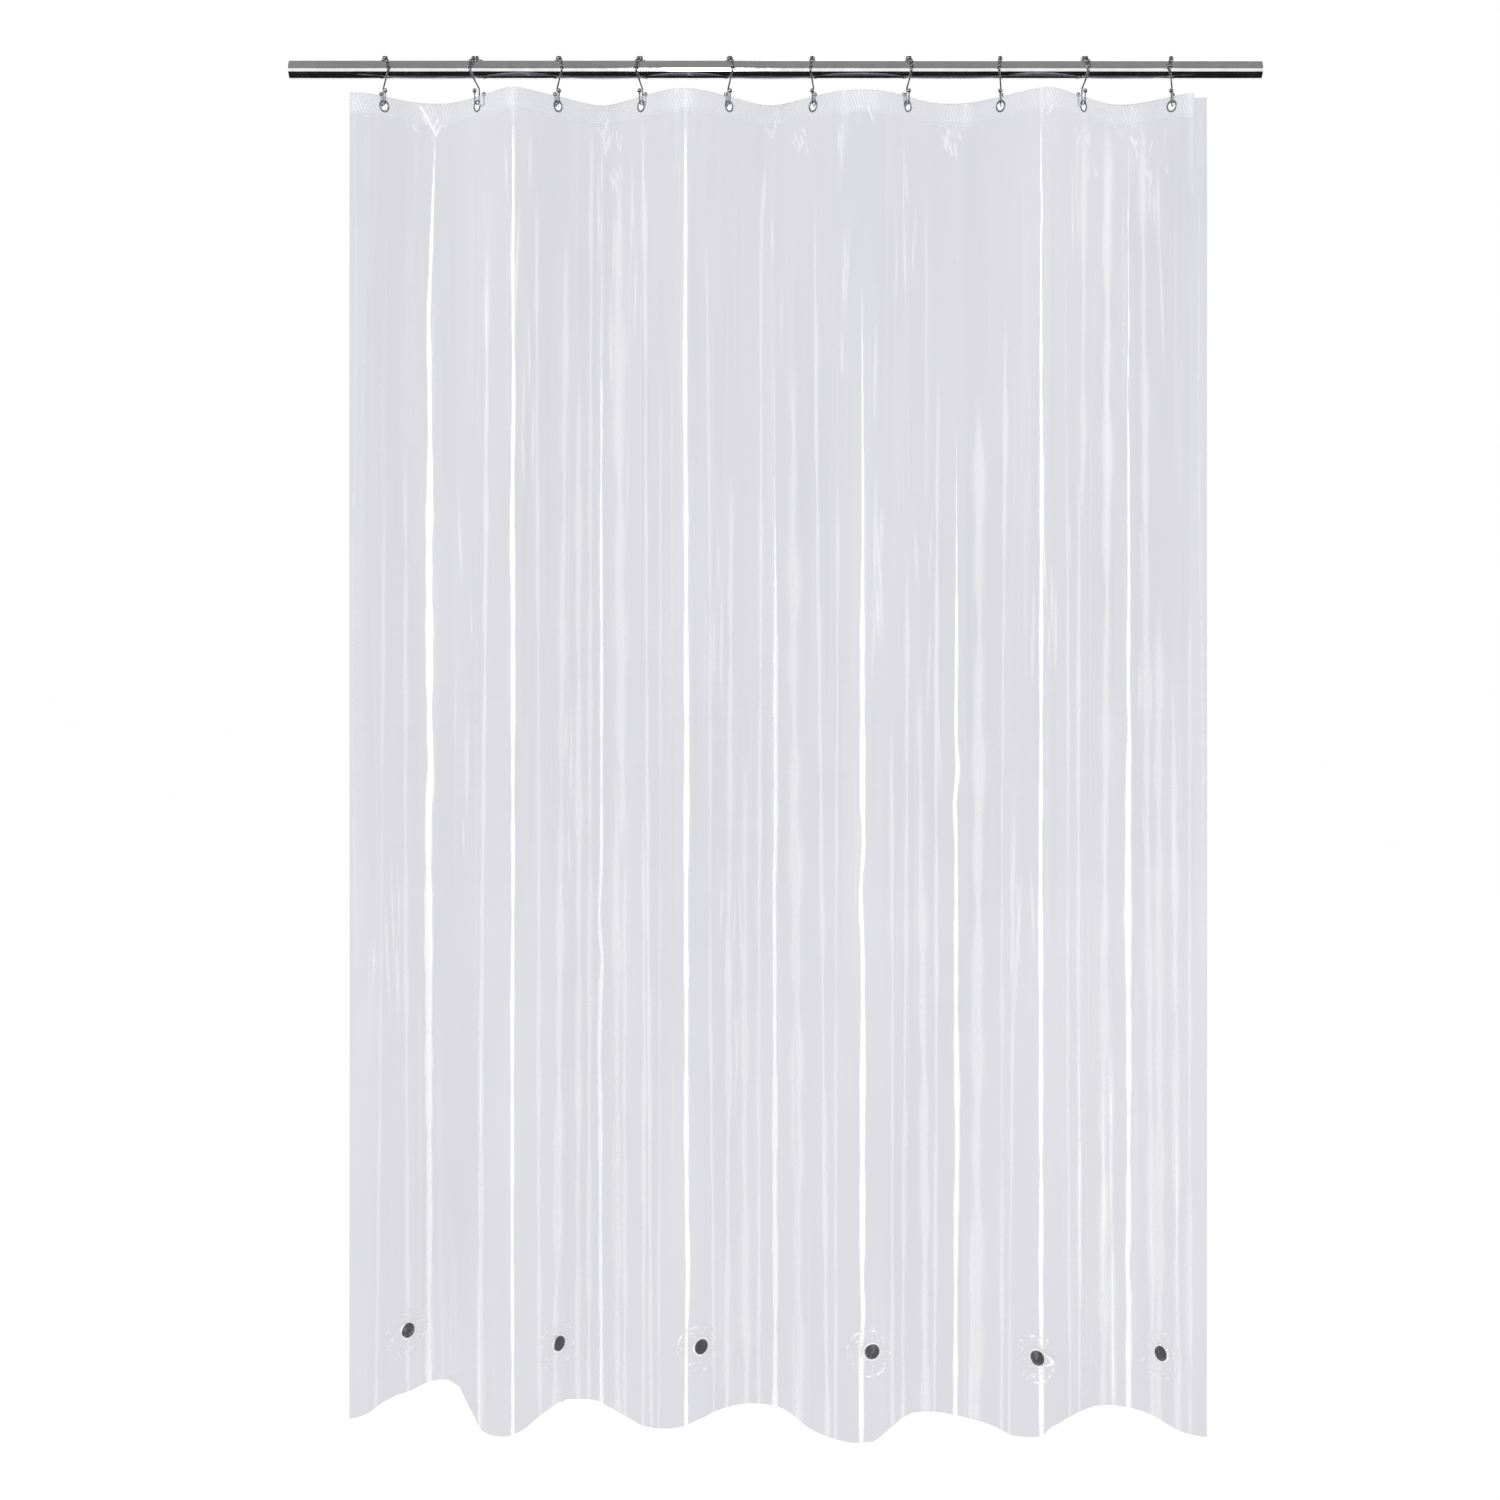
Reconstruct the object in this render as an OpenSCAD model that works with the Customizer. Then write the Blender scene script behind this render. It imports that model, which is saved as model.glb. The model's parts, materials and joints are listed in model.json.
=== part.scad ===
// Clear shower curtain on a straight rod: ten double roller hooks carry a folded film
// through ten metal eyelets, and six sealed magnets weight its bottom edge.
// Origin: middle of the rod's axis. X runs along the rod, -Y faces the room, Z is up.

/* [Rod] */
// Length of the rod
rod_len = 1335; // [1250:5:1800]
// Outside diameter of the rod
rod_d = 25.4; // [22:0.2:26]
// Wall thickness of the rod tube
rod_wall = 1; // [0.6:0.1:2]

/* [Film] */
// Height of the film, from top edge to bottom edge
film_h = 1829; // [1200:1:2000]
// Thickness of one layer of film
film_t = 0.3; // [0.2:0.05:0.5]
// Height of the folded and welded band along the top edge
header_h = 30; // [26:1:50]
// Distance between neighbouring eyelets, measured along the film
eyelet_pitch = 158; // [150:1:165]
// Film beyond the first and the last eyelet
side_margin = 51; // [40:1:55]
// Angle of the film to the rod at each eyelet
wave_slope = 48; // [40:1:50]
// How flat the film stays before it turns, for each fold: low is a round wave, high a sharp pleat
fold_flatness = [2.1, 11, 7.3, 3.5, 6.2, 1.7, 2.1, 7.3, 3.5]; // [1.6:0.1:12]
// The same for the two loose side flaps
flap_flatness = 1.4; // [1:0.1:4]
// Gap between neighbouring panels at each fold, wide enough for the header's corners as the folds close
fold_gap = 1.2; // [0.4:0.1:1.6]
// How far the middle of the row of hooks sits from the middle of the rod
row_shift = 3.5; // [-20:0.5:20]

/* [Eyelets] */
// Height of the eyelet centres, below the rod's axis
eyelet_drop = 49.5; // [48:0.5:52]
// Distance from the film's top edge to the eyelet centres
eyelet_inset = 13.7; // [12:0.1:15]
// Clear hole through an eyelet
eyelet_hole_d = 11.6; // [11:0.1:12.5]
// Outside diameter of an eyelet's flange
eyelet_d = 17; // [16:0.5:19]
// Thickness of one flange
flange_t = 0.45; // [0.3:0.05:0.6]

/* [Hooks] */
// Wire diameter
wire_d = 2.4; // [2:0.1:2.6]
// Radius of the wire loop that goes over the rod
loop_r = 19.3; // [19:0.1:21]
// Diameter of a roller bead
bead_d = 6.4; // [5:0.1:6.4]
// Diameter of a bead's bore
bead_bore = 3.2; // [3:0.1:3.6]
// Diameter of the ball at the end of each J
ball_d = 6.4; // [4:0.1:7]
// Inside-to-centre radius of each J
j_r = 5.8; // [5.6:0.1:6.5]
// Gap between a J's wire and the top of the eyelet's hole
hang_gap = 2; // [1.6:0.1:2.4]
// Turn of each hook about its vertical line, towards the side that its film faces
hook_turn = [25, 25, 20, 18, 15, 12, 12, 11, 14, 18]; // [0:1:27]

/* [Magnets] */
// Diameter of a magnet
magnet_d = 20; // [12:1:24]
// Thickness of a magnet
magnet_t = 2.5; // [1.5:0.1:4]
// Panel that carries each magnet
magnet_panel = [1, 3, 5, 7, 8, 10]; // [1:1:10]
// Distance of each magnet along the film from its panel's eyelet
magnet_along = [38, 0, -55, -66, 65, -16]; // [-66:1:66]
// Height of each magnet's centre above the film's bottom edge
magnet_height = [121, 114, 126, 119, 114, 95]; // [60:1:150]
// Gap between a magnet and the film that it lies against
magnet_gap = 0.8; // [0.6:0.1:1.5]

/* [Hidden] */
panels = len(hook_turn);
half_steps = 8;   // flat facets from an eyelet to the next fold
flap_steps = 5;   // flat facets from an outer eyelet to the side edge
half_len = eyelet_pitch / 2;

bead_clearance = 0.4;   // between the top bead and the rod
loop_drop = loop_r - rod_d / 2 - bead_d / 2 - bead_clearance;
front_end = 80;    // angle from the top of the loop to the end of its front part
back_end = 48;     // angle from the top of the loop to its free back end
side_bead_angles = [-30, 27, 54, 77];
turn_r = 8;        // bend below the front of the loop
stem_bend_r = 6;   // bend into the stem
slant = 52;        // angle of the slanting wire to the vertical

film_top = eyelet_inset - eyelet_drop;
film_bottom = film_top - film_h;
header_t = 2 * film_t;
hairline = 0.05;   // between the flat strips that make up a panel
barrel_r = eyelet_hole_d / 2 + 0.7;   // outside of the eyelet's barrel
hole_clearance = 0.1;   // between the barrel and the hole through the film
rim_in = 0.5;      // an eyelet flange's slope, at its hole
rim_out = 0.6;     // and at its outer edge
j_bottom = eyelet_hole_d / 2 - eyelet_drop - hang_gap - wire_d / 2;
j_centre = j_bottom + j_r;
ball_rise = 11.6;  // from a J's centre up to its ball
ball_z = j_centre + ball_rise;
stop_d = 4;        // ball on the free end of the loop
past = 1;          // how far a cutting shape goes past what it cuts, at each end
steel = [0.74, 0.75, 0.77];
dark_steel = [0.55, 0.56, 0.58];
clear_film = [0.87, 0.87, 0.9, 0.45];
magnet_grey = [0.28, 0.28, 0.3];

function two_digits(k) = k < 10 ? str("0", k) : str(k);
function name(stem, k) = str(stem, "_", two_digits(k));

// ---- the film's plan: straight facets whose angle falls from wave_slope to nothing ----

// the angle in half degrees, so that facets which hardly differ come out as one
function facet_angle(i, steps, flatness) =
    wave_slope - round(2 * wave_slope * pow(i / (steps - 0.5), flatness)) / 2;

// points from an eyelet outwards to a fold or a side edge
function half_plan(length, steps, flatness) = [
    for (i = 0, p = [0, 0]; i <= steps;
         p = p + length / steps * [cos(facet_angle(i, steps, flatness)),
                                   sin(facet_angle(i, steps, flatness))],
         i = i + 1) p
];

// a point at a distance along such a plan, with the plan's angle there
function on_half_plan(distance, length, steps, flatness) =
    let (plan = half_plan(length, steps, flatness),
         i = min(floor(distance / length * steps), steps - 1),
         a = facet_angle(i, steps, flatness),
         rest = distance - i * length / steps)
    [plan[i].x + rest * cos(a), plan[i].y + rest * sin(a), a];

function flatness_right(k) = k == panels ? flap_flatness : fold_flatness[k - 1];
function flatness_left(k) = k == 1 ? flap_flatness : fold_flatness[k - 2];
function length_right(k) = k == panels ? side_margin : half_len;
function length_left(k) = k == 1 ? side_margin : half_len;
function steps_right(k) = k == panels ? flap_steps : half_steps;
function steps_left(k) = k == 1 ? flap_steps : half_steps;
function right_plan(k) = half_plan(length_right(k), steps_right(k), flatness_right(k));
function left_plan(k) = half_plan(length_left(k), steps_left(k), flatness_left(k));

function last(v) = v[len(v) - 1];
function hook_gap(k) = 2 * last(half_plan(half_len, half_steps, fold_flatness[k - 1])).x;
hook_offsets = [for (k = 1, x = 0; k <= panels; x = x + (k < panels ? hook_gap(k) : 0), k = k + 1) x];
function hook_x(k) = row_shift + hook_offsets[k - 1] - last(hook_offsets) / 2;
// odd panels run backwards as they go right, even panels run forwards
function way(k) = k % 2 == 1 ? 1 : -1;

// a plan whose end stops short of the fold by half the gap
function trimmed(plan) =
    let (n = len(plan), step = plan[n - 1] - plan[n - 2])
    [for (i = [0 : n - 1]) i < n - 1 ? plan[i] : plan[i] - fold_gap / 2 * step / norm(step)];

function panel_plan(k) =
    let (left = trimmed(left_plan(k)), right = trimmed(right_plan(k)), n = len(left))
    bends_only([for (p = concat([for (i = [n - 1 : -1 : 1]) -left[i]], right)) [p.x, way(k) * p.y]]);

function direction(a, b) = (b - a) / norm(b - a);
// a plan's two ends and the points at which it bends
function bends_only(plan) = [
    for (i = [0 : len(plan) - 1])
        if (i == 0 || i == len(plan) - 1
            || norm(direction(plan[i - 1], plan[i]) - direction(plan[i], plan[i + 1])) > 0.001)
            plan[i]
];
function side_of(plan, d) = [
    for (i = [0 : len(plan) - 1])
        let (before = direction(plan[max(i - 1, 0)], plan[max(i, 1)]),
             after = direction(plan[min(i, len(plan) - 2)], plan[min(i + 1, len(plan) - 1)]),
             mean = (before + after) / norm(before + after))
        plan[i] + d * [-mean.y, mean.x]
];

// flat upright strips along a plan, parted by a hairline at each bend
module strips(plan, thickness, low, high) {
    near_side = side_of(plan, thickness / 2);
    far_side = side_of(plan, -thickness / 2);
    for (i = [0 : len(plan) - 2]) {
        trim = hairline / 2 * direction(plan[i], plan[i + 1]);
        translate([0, 0, low])
            linear_extrude(height = high - low)
                polygon([near_side[i] + trim, near_side[i + 1] - trim,
                         far_side[i + 1] - trim, far_side[i] + trim]);
    }
}

module film_panel(k) {
    header_bottom = film_top - header_h;
    color(clear_film)
        translate([hook_x(k), 0, 0]) {
            strips(panel_plan(k), film_t, film_bottom, header_bottom - hairline);
            difference() {
                strips(panel_plan(k), header_t, header_bottom, film_top);
                facing_the_film(k)
                    cylinder(h = header_t + eyelet_d, r = barrel_r + hole_clearance, center = true, $fn = 64);
            }
        }
}

// moves a shape whose axis is Z to panel k's eyelet, square to the film there
module facing_the_film(k) {
    translate([0, 0, -eyelet_drop])
        rotate([90, 0, way(k) * wave_slope])
            children();
}

module eyelet(k) {
    grip = header_t / 2;
    outer = grip + flange_t;
    hole_r = eyelet_hole_d / 2;
    color(steel)
        translate([hook_x(k), 0, 0])
            facing_the_film(k)
                rotate_extrude($fn = 64)
                    polygon([
                        [hole_r, -grip], [hole_r + rim_in, -outer], [eyelet_d / 2 - rim_out, -outer],
                        [eyelet_d / 2, -grip], [barrel_r, -grip], [barrel_r, grip],
                        [eyelet_d / 2, grip], [eyelet_d / 2 - rim_out, outer], [hole_r + rim_in, outer],
                        [hole_r, grip]
                    ]);
}

module magnet(m) {
    k = magnet_panel[m - 1];
    along = magnet_along[m - 1];
    right = along >= 0;
    spot = right
        ? on_half_plan(along, length_right(k), steps_right(k), flatness_right(k))
        : on_half_plan(-along, length_left(k), steps_left(k), flatness_left(k));
    hand = right ? 1 : -1;
    off = film_t / 2 + magnet_gap;
    edge = 0.4;
    color(magnet_grey)
        translate([hook_x(k) + hand * spot.x, way(k) * hand * spot.y, film_bottom + magnet_height[m - 1]])
            rotate([90, 0, way(k) * spot.z])
                translate([0, 0, off])
                    rotate_extrude($fn = 64)
                        polygon([
                            [0, 0], [magnet_d / 2 - edge, 0], [magnet_d / 2, edge],
                            [magnet_d / 2, magnet_t - edge], [magnet_d / 2 - edge, magnet_t],
                            [0, magnet_t]
                        ]);
}

module curtain_rod() {
    color(steel)
        rotate([0, 90, 0])
            difference() {
                cylinder(h = rod_len, d = rod_d, center = true, $fn = 128);
                cylinder(h = rod_len + 2 * past, d = rod_d - 2 * rod_wall, center = true, $fn = 128);
            }
}

// ---- hooks, drawn flat: local X is towards the front, local Y is up ----

module on_hook(k) {
    translate([hook_x(k), 0, 0])
        rotate([90, 0, way(k) * hook_turn[k - 1] - 90])
            children();
}

// wire along an arc of a circle, from one angle to another
module arc_wire(centre, r, from, to) {
    translate([centre.x, centre.y, 0])
        rotate([0, 0, from])
            rotate_extrude(angle = to - from, $fn = 96)
                translate([r, 0])
                    circle(d = wire_d, $fn = 32);
}

module straight_wire(a, b) {
    translate([a.x, a.y, 0])
        rotate([0, 90, atan2(b.y - a.y, b.x - a.x)])
            cylinder(h = norm(b - a), d = wire_d, $fn = 32);
}

module ball(at, d) {
    translate([at.x, at.y, 0])
        sphere(d = d, $fn = 48);
}

module hook_wire(k) {
    loop_c = [0, -loop_drop];
    turn_c = loop_c + (loop_r - turn_r) * [sin(front_end), cos(front_end)];
    slant_top = turn_c + turn_r * [cos(slant), -sin(slant)];
    stem = -j_r;
    bend_in = stem_bend_r * (1 - cos(slant));
    run = (slant_top.x - stem - bend_in) / sin(slant);
    slant_low = slant_top - run * [sin(slant), cos(slant)];
    stem_top = [stem, slant_low.y - stem_bend_r * sin(slant)];
    free_end = loop_c + loop_r * [-sin(back_end), cos(back_end)];
    color(steel)
        on_hook(k)
            union() {
                arc_wire(loop_c, loop_r, 90 - front_end, 90 + back_end);
                ball(free_end, stop_d);
                arc_wire(turn_c, turn_r, -slant, 90 - front_end);
                straight_wire(slant_low, slant_top);
                arc_wire([stem + stem_bend_r, stem_top.y], stem_bend_r, 180 - slant, 180);
                straight_wire([stem, j_centre], stem_top);
                arc_wire([0, j_centre], j_r, 180, 360);
                straight_wire([j_r, j_centre], [j_r, ball_z]);
                ball([j_r, ball_z], ball_d);
                arc_wire([2 * stem, j_centre], j_r, 180, 360);
                straight_wire([3 * stem, j_centre], [3 * stem, ball_z]);
                ball([3 * stem, ball_z], ball_d);
            }
}

// a bead on the loop, at an angle forwards from its top
module bead(angle) {
    translate([loop_r * sin(angle), loop_r * cos(angle) - loop_drop, 0])
        rotate([0, 90, -angle])
            difference() {
                sphere(d = bead_d, $fn = 48);
                cylinder(h = bead_d + 2 * past, d = bead_bore, center = true, $fn = 32);
            }
}

module top_roller(k) {
    color(dark_steel)
        on_hook(k)
            bead(0);
}

module side_rollers(k) {
    color(dark_steel)
        on_hook(k)
            for (angle = side_bead_angles)
                bead(angle);
}

curtain_rod();
for (k = [1 : panels]) {
    hook_wire(k);
    top_roller(k);
    side_rollers(k);
    film_panel(k);
    eyelet(k);
}
for (m = [1 : len(magnet_panel)])
    magnet(m);
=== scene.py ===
import json
import math

import bpy
import numpy as np
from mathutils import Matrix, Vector


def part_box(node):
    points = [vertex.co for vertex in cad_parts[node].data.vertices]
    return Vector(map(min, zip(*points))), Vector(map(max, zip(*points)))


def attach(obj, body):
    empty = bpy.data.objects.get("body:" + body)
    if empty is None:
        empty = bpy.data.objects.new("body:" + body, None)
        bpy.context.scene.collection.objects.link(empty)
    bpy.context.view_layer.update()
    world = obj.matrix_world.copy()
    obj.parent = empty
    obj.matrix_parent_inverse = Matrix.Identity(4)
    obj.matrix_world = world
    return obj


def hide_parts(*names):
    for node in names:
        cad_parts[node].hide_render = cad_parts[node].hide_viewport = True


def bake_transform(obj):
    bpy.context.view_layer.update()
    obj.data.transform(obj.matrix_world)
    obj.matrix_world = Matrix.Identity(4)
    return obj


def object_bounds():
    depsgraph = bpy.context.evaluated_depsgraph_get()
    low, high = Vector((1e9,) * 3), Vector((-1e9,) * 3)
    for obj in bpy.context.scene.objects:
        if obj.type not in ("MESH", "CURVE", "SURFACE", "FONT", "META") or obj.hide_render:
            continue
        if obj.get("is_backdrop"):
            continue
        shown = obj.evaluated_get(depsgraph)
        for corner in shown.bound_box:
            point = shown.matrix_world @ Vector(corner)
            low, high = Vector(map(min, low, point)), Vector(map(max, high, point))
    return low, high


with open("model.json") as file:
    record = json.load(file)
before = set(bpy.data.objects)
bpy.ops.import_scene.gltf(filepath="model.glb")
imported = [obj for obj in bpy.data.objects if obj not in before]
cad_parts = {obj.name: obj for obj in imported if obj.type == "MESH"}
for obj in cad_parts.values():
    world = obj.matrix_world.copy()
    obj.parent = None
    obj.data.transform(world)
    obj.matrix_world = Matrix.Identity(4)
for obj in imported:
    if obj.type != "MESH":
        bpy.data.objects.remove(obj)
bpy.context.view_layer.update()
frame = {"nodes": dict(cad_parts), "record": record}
nodes = frame["nodes"]
rng = np.random.default_rng(11)
MM = 0.001                # one millimetre, in metres

# ---------------------------------------------------------------- the film's own measures

EYELETS = 10
PITCH = 158 * MM          # between eyelets, along the film
HALF = PITCH / 2
MARGIN = 51 * MM          # beyond the outer eyelets
WIDTH = 2 * MARGIN + (EYELETS - 1) * PITCH
HEADER = 30 * MM          # height of the folded band along the top edge
SLOPE = math.radians(48)  # of the film to the rod at each eyelet
# how late the film turns to lie along the rod, at each fold and at the side flaps
FLATNESS = [2.1, 11, 7.3, 3.5, 6.2, 1.7, 2.1, 7.3, 3.5]
FLAP_FLATNESS = 1.4
HALF_STEPS, FLAP_STEPS = 8, 5  # flat strips in the CAD, from an eyelet to a fold and to a side edge
PLAN_STEP = 0.25 * MM     # between the points of the film's plan
PLAN_SAMPLES = 400        # of the film's curve from an eyelet to a fold
PLAN_ROUNDING = 6         # points on each side that the plan's direction is averaged over
SEAM = 15 * MM            # a piece of film ends this far right of an eyelet
HOLE_R = 7.2 * MM         # hidden under an eyelet's flange
# panel and distance along the film from that panel's eyelet, for each magnet
MAGNETS = [(1, 38 * MM), (3, 0), (5, -55 * MM), (7, -66 * MM), (8, 65 * MM), (10, -16 * MM)]


def name(stem, k):
    return f"{stem}_{k:02d}"


def centre_of(node):
    low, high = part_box(node)
    return (Vector(low) + Vector(high)) / 2


film_low, film_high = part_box("film_panel_01")
TOP, BOTTOM = film_high[2], film_low[2]
DROP = TOP - BOTTOM
eyelet_at = [centre_of(name("eyelet", k)) for k in range(1, EYELETS + 1)]
EYELET_H = TOP - eyelet_at[0].z
joint_at = {j["name"]: Vector(j["pos_m"]) for j in frame["record"]["behaviour"]["joints"] if "pos_m" in j}
crest_at = [joint_at[name("fold", k)] for k in range(1, EYELETS)]
eyelet_s = np.array([MARGIN + PITCH * k for k in range(EYELETS)])
crest_s = eyelet_s[:-1] + HALF
front_crest = np.array([c.y < 0 for c in crest_at])
seam_s = eyelet_s[1:-1] + SEAM


def smooth(x, low, high):
    """0 below low, 1 above high, and an even rise between."""
    t = np.clip((x - low) / (high - low), 0, 1)
    return t * t * (3 - 2 * t)


def half_plan(length, steps, flatness):
    """Distance along, x and y, outwards from an eyelet: the angle to the rod falls from SLOPE to nothing."""
    s = np.linspace(0, length, PLAN_SAMPLES)
    u = np.clip((s * steps / length - 0.5) / (steps - 0.5), 0, 1)
    angle = SLOPE * (1 - u**flatness)
    ds = s[1] - s[0]
    x = np.concatenate([[0], np.cumsum(np.cos((angle[1:] + angle[:-1]) / 2)) * ds])
    y = np.concatenate([[0], np.cumsum(np.sin((angle[1:] + angle[:-1]) / 2)) * ds])
    return s, x, y


def make_plan():
    """The film's plan from its left edge to its right edge: distance along, x and y."""
    s_all, x_all, y_all = [], [], []
    for k in range(EYELETS):
        way = 1 if k % 2 == 0 else -1
        for hand in (-1, 1):
            fold = k if hand > 0 else k - 1
            if 0 <= fold < EYELETS - 1:
                s, x, y = half_plan(HALF, HALF_STEPS, FLATNESS[fold])
                c = crest_at[fold]
                x = x * abs(c.x - eyelet_at[k].x) / x[-1]
                y = y * abs(c.y) / y[-1]
            else:
                s, x, y = half_plan(MARGIN, FLAP_STEPS, FLAP_FLATNESS)
            s_all.append(eyelet_s[k] + hand * s)
            x_all.append(eyelet_at[k].x + hand * x)
            y_all.append(way * hand * y)
    s, x, y = (np.concatenate(v) for v in (s_all, x_all, y_all))
    order = np.argsort(s, kind="stable")
    fine = np.arange(0, WIDTH + 1e-9, PLAN_STEP)
    return fine, np.interp(fine, s[order], x[order]), np.interp(fine, s[order], y[order])


PLAN_S, PLAN_X, PLAN_Y = make_plan()
SLOPE_X, SLOPE_Y = np.gradient(PLAN_X, PLAN_S), np.gradient(PLAN_Y, PLAN_S)
window = np.hanning(2 * PLAN_ROUNDING + 1)
window /= window.sum()
SLOPE_X, SLOPE_Y = (
    np.convolve(np.pad(v, PLAN_ROUNDING, mode="edge"), window, mode="valid") for v in (SLOPE_X, SLOPE_Y)
)


def plan(s):
    """The film's plan at s, as x, y and the normal on its front side."""
    tx, ty = np.interp(s, PLAN_S, SLOPE_X), np.interp(s, PLAN_S, SLOPE_Y)
    length = np.hypot(tx, ty)
    return np.interp(s, PLAN_S, PLAN_X), np.interp(s, PLAN_S, PLAN_Y), ty / length, -tx / length


# ---------------------------------------------------------------- folds, creases and wrinkles

# how far each fold's sharp line lies right of the fold's middle, in mm
CREASE_OFF = [-9, 0, -2, 3, 6, 0, 7, -10, 11]
# where each fold line wanders to, going down: (height of a kink, its reach, its size)
crest_phase = rng.uniform(0, 2 * math.pi, (EYELETS - 1, 3))
crest_kinks = [
    [(0.02, 0.16, 7.5), (0.30, 0.05, -1.8), (0.62, 0.09, -1.2), (0.93, 0.04, 2.2)],
    [(0.40, 0.06, 1.0)],
    [(1.13, 0.05, -2.6), (1.20, 0.03, 2.2), (1.33, 0.05, -1.4)],
    [(1.60, 0.06, 1.4)],
    [(0.30, 0.05, 1.2), (1.10, 0.04, -1.0)],
    [(1.02, 0.03, 1.8), (1.10, 0.04, -2.2), (1.66, 0.03, 2.0)],
    [(0.93, 0.03, 2.8), (0.98, 0.03, -1.8), (1.45, 0.10, 1.2)],
    [(0.16, 0.03, 1.5), (1.60, 0.05, -1.0)],
    [(0.40, 0.05, -1.4), (0.88, 0.05, 1.6), (1.62, 0.03, -2.0)],
]


def crest_line(k, h):
    """How far fold k's sharp line lies right of the fold's own middle, h below the top edge."""
    a, b, c = crest_phase[k]
    off = CREASE_OFF[k] + 0.7 * np.sin(2.9 * h + a) + 0.5 * np.sin(7.3 * h + b) + 0.25 * np.sin(19 * h + c)
    for at, reach, size in crest_kinks[k]:
        off = off + size * np.exp(-(((h - at) / reach) ** 2))
    return off * MM


# how wide each fold's painted highlight line is, and the ridge under it, in mm, at distances below the top
# edge, in m
LINE_H = [0.11, 0.25, 0.41, 0.57, 0.74, 0.92, 1.10, 1.28, 1.46, 1.64]
LINE_WIDE = [
    [2.2, 6.4, 6.9, 9.0, 9.4, 9.4, 9.4, 8.1, 7.4, 5.8],
    [3.5, 4.0, 4.7, 5.8, 6.1, 7.0, 6.3, 6.2, 6.1, 6.3],
    [1.2, 1.1, 2.6, 3.6, 4.4, 4.4, 4.3, 4.8, 5.7, 5.2],
    [4.0, 4.6, 5.1, 5.7, 5.9, 6.2, 6.1, 6.2, 5.8, 5.4],
    [0.4, 0.4, 1.0, 1.8, 4.6, 5.4, 5.8, 6.1, 6.8, 6.9],
    [0.4, 0.6, 2.2, 3.3, 5.4, 6.5, 5.7, 6.9, 7.3, 7.0],
    [0.4, 0.4, 0.8, 1.9, 4.1, 5.7, 6.5, 6.8, 7.2, 6.9],
    [1.9, 3.2, 3.9, 5.1, 5.7, 5.9, 6.2, 5.8, 5.8, 5.7],
    [1.4, 2.2, 1.8, 3.3, 4.8, 6.2, 8.4, 8.4, 6.8, 7.2],
]


def crest_width(k, h):
    """Half the width of fold k's painted highlight line, and of the ridge under it."""
    a, b, c = crest_phase[k]
    grow = 1 + 0.10 * np.sin(11 * h + a) + 0.12 * np.sin(31 * h + b) + 0.10 * np.sin(83 * h + c)
    return np.interp(h, LINE_H, LINE_WIDE[k]) * grow * 0.5 * MM


# upright streak lines, each a low ridge with a painted highlight, in mm along the film, m below the top edge,
# and mm:
# (place, from, to, half width, strength, drift)
streak_lines = [
    (45, 0.53, 1.79, 2.1, 0.18, -15), (88, 0.48, 1.81, 2.3, 0.26, 5), (222, 1.40, 1.79, 2.3, 0.24, -1),
    (224, 0.20, 1.79, 3.6, 0.41, -22), (331, 0.14, 1.78, 2.2, 0.26, 6), (372, 0.20, 1.80, 4.6, 0.29, -20),
    (406, 0.37, 1.81, 4.1, 0.26, -3), (427, 0.03, 1.82, 2.3, 0.38, -4), (462, 0.26, 0.43, 2.1, 0.29, 3),
    (472, 0.93, 1.82, 5.3, 0.38, 5), (479, 0.09, 1.04, 9.0, 0.30, 7), (490, 1.03, 1.81, 3.5, 0.32, -1),
    (530, 0.97, 1.79, 3.0, 0.24, 0), (538, 0.03, 1.79, 2.5, 0.38, 17), (565, 0.36, 1.77, 1.8, 0.18, -5),
    (646, 0.20, 1.78, 2.0, 0.29, 11), (683, 0.53, 1.79, 3.9, 0.29, -8), (715, 0.92, 1.81, 5.6, 0.24, 3),
    (745, 0.15, 1.83, 2.0, 0.44, -7), (807, 0.37, 1.81, 8.0, 0.38, 11), (856, 0.14, 1.79, 2.7, 0.38, 23),
    (883, 0.52, 1.77, 1.8, 0.23, -3), (965, 0.85, 1.78, 2.3, 0.26, 3), (994, 0.64, 1.79, 3.0, 0.38, -10),
    (1032, 0.81, 1.81, 5.3, 0.35, 11), (1037, 0.14, 0.59, 2.6, 0.21, 2), (1056, 0.37, 1.82, 2.0, 0.38, -5),
    (1108, 1.54, 1.82, 2.3, 0.50, -1), (1117, 0.42, 1.81, 6.5, 0.36, -5), (1162, 0.31, 1.79, 2.7, 0.35, -8),
    (1178, 0.96, 1.78, 1.9, 0.26, -9), (1275, 0.47, 1.77, 1.9, 0.32, 7), (1301, 0.53, 1.79, 3.1, 0.47, 1),
    (1313, 0.03, 0.58, 6.0, 0.32, -7), (1369, 0.03, 1.82, 5.6, 0.40, -9), (1380, 1.32, 1.82, 2.4, 0.47, 2),
    (1433, 0.03, 1.81, 3.9, 0.38, 17), (1452, 0.70, 1.80, 4.8, 0.29, -2), (1479, 0.80, 1.79, 3.3, 0.38, 9),
    (1501, 0.69, 1.78, 1.6, 0.24, 0),
]
# short creases, drawn only as painted highlights: from and to, each as mm along the film and mm below the top
# edge, half width, strength
strokes = [
    (109, 6, 127, 36, 1.6, 0.95), (127, 36, 133, 22, 1.5, 0.7), (113, 18, 117, 30, 1.3, 0.6),
    (96, 34, 104, 39, 1.4, 0.5), (455, 22, 446, 38, 1.2, 0.5), (470, 40, 474, 62, 1.4, 0.5),
    (482, 45, 478, 70, 1.3, 0.45), (1242, 24, 1236, 36, 1.2, 0.5), (928, 24, 934, 40, 1.3, 0.5),
]

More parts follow.
